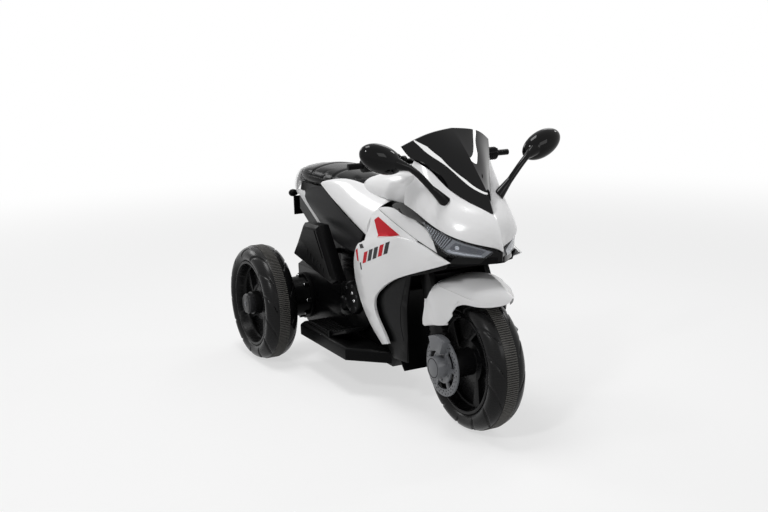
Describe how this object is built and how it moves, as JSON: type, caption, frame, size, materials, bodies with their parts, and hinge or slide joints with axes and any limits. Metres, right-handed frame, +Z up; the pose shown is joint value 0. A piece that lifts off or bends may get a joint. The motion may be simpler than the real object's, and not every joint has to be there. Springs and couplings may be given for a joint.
{
  "type": "kids electric motorbike",
  "caption": "Ride-on toy motorbike with a steered front wheel, two driven rear wheels, racing bodywork, padded seat, footboards and an accelerator pedal.",
  "frame": {"origin": "on the ground midway between the axles, in the middle plane", "axes": "+X forward towards the front wheel, +Y to the rider's left, +Z up"},
  "size_m": [0.9302, 0.4368, 0.5778],
  "materials": {
    "white_gloss": "gloss",
    "black_satin": "satin",
    "grey_satin": "satin",
    "black_gloss": "gloss",
    "tyre_black": "satin",
    "rim_black": "satin",
    "trim_grey": "satin",
    "lens_clear": "clear",
    "lamp_red": "gloss",
    "seat_vinyl": "satin",
    "steel": "brushed",
    "grip_rubber": "matte",
    "battery_grey": "satin",
    "button_red": "gloss"
  },
  "bodies": {
    "chassis": {"rear_axle": "steel", "rear_axle_nuts": "steel", "chassis_tub": "black_satin", "main_frame": "black_satin", "right_gearbox": "black_satin", "left_gearbox": "black_satin", "drive_motors": "steel", "battery": "battery_grey", "right_side_fairing": "white_gloss", "left_side_fairing": "white_gloss", "right_side_blade": "white_gloss", "left_side_blade": "white_gloss", "right_belly_panel": "black_satin", "left_belly_panel": "black_satin", "wheel_well_liner": "black_satin", "right_seat_panel": "grey_satin", "left_seat_panel": "grey_satin", "nose_cowl": "white_gloss", "windscreen": "black_gloss", "lamp_bezel": "black_gloss", "right_headlamp_lens": "lens_clear", "left_headlamp_lens": "lens_clear", "dash_frame": "black_satin", "chin_guard": "black_satin", "right_mirror": "black_gloss", "left_mirror": "black_gloss", "tank_cover": "white_gloss", "seat": "seat_vinyl", "tail_cowl": "white_gloss", "tail_lamp": "lamp_red", "rear_indicators": "black_satin", "plate_holder": "black_satin", "charge_socket": "black_satin", "muffler": "black_satin", "right_engine_cover": "black_satin", "left_engine_cover": "black_satin", "right_footboard": "black_satin", "left_footboard": "black_satin", "control_console": "black_satin"},
    "fork": {"fork": "black_satin", "front_fender": "white_gloss", "right_brake_trim": "trim_grey", "left_brake_trim": "trim_grey", "steering_column": "steel", "handlebar": "black_satin", "right_grip": "grip_rubber", "left_grip": "grip_rubber", "front_axle": "steel"},
    "front_wheel": {"front_tyre": "tyre_black", "front_rim": "rim_black"},
    "rear_right_wheel": {"rear_right_tyre": "tyre_black", "rear_right_rim": "rim_black", "rear_right_hub_cap": "trim_grey"},
    "rear_left_wheel": {"rear_left_tyre": "tyre_black", "rear_left_rim": "rim_black", "rear_left_hub_cap": "trim_grey"},
    "pedal": {"accelerator_pedal": "black_satin"},
    "power_button": {"power_button": "button_red"},
    "horn_button": {"horn_button": "trim_grey"},
    "direction_rocker": {"direction_rocker": "trim_grey"}
  },
  "joints": [
    {"name": "steering", "type": "hinge", "parent": "chassis", "child": "fork", "pos_m": [0.33, 0, 0.135], "axis": [-0.3746, 0, 0.9272], "range_deg": [-22, 22]},
    {"name": "front_wheel_spin", "type": "hinge", "parent": "fork", "child": "front_wheel", "pos_m": [0.33, 0, 0.135], "axis": [0, 1, 0], "continuous": true},
    {"name": "rear_right_wheel_spin", "type": "hinge", "parent": "chassis", "child": "rear_right_wheel", "pos_m": [-0.33, -0.172, 0.135], "axis": [0, 1, 0], "continuous": true},
    {"name": "rear_left_wheel_spin", "type": "hinge", "parent": "chassis", "child": "rear_left_wheel", "pos_m": [-0.33, 0.172, 0.135], "axis": [0, 1, 0], "continuous": true},
    {"name": "accelerator_press", "type": "hinge", "parent": "chassis", "child": "pedal", "pos_m": [-0.066, -0.098, 0.113], "axis": [0, 1, 0], "range_deg": [0, 10], "stiffness_Nm_per_rad": 0.8, "springref_deg": -20.05},
    {"name": "power_press", "type": "slide", "parent": "chassis", "child": "power_button", "axis": [0.1219, 0, -0.9925], "range_m": [0, 0.0025], "stiffness_N_per_m": 400, "springref_m": -0.002},
    {"name": "horn_press", "type": "slide", "parent": "chassis", "child": "horn_button", "axis": [0.1219, 0, -0.9925], "range_m": [0, 0.0025], "stiffness_N_per_m": 400, "springref_m": -0.002},
    {"name": "direction_switch", "type": "hinge", "parent": "chassis", "child": "direction_rocker", "pos_m": [0.11637, -0.01488, 0.48877], "axis": [0, 1, 0], "range_deg": [-8, 8]}
  ]
}
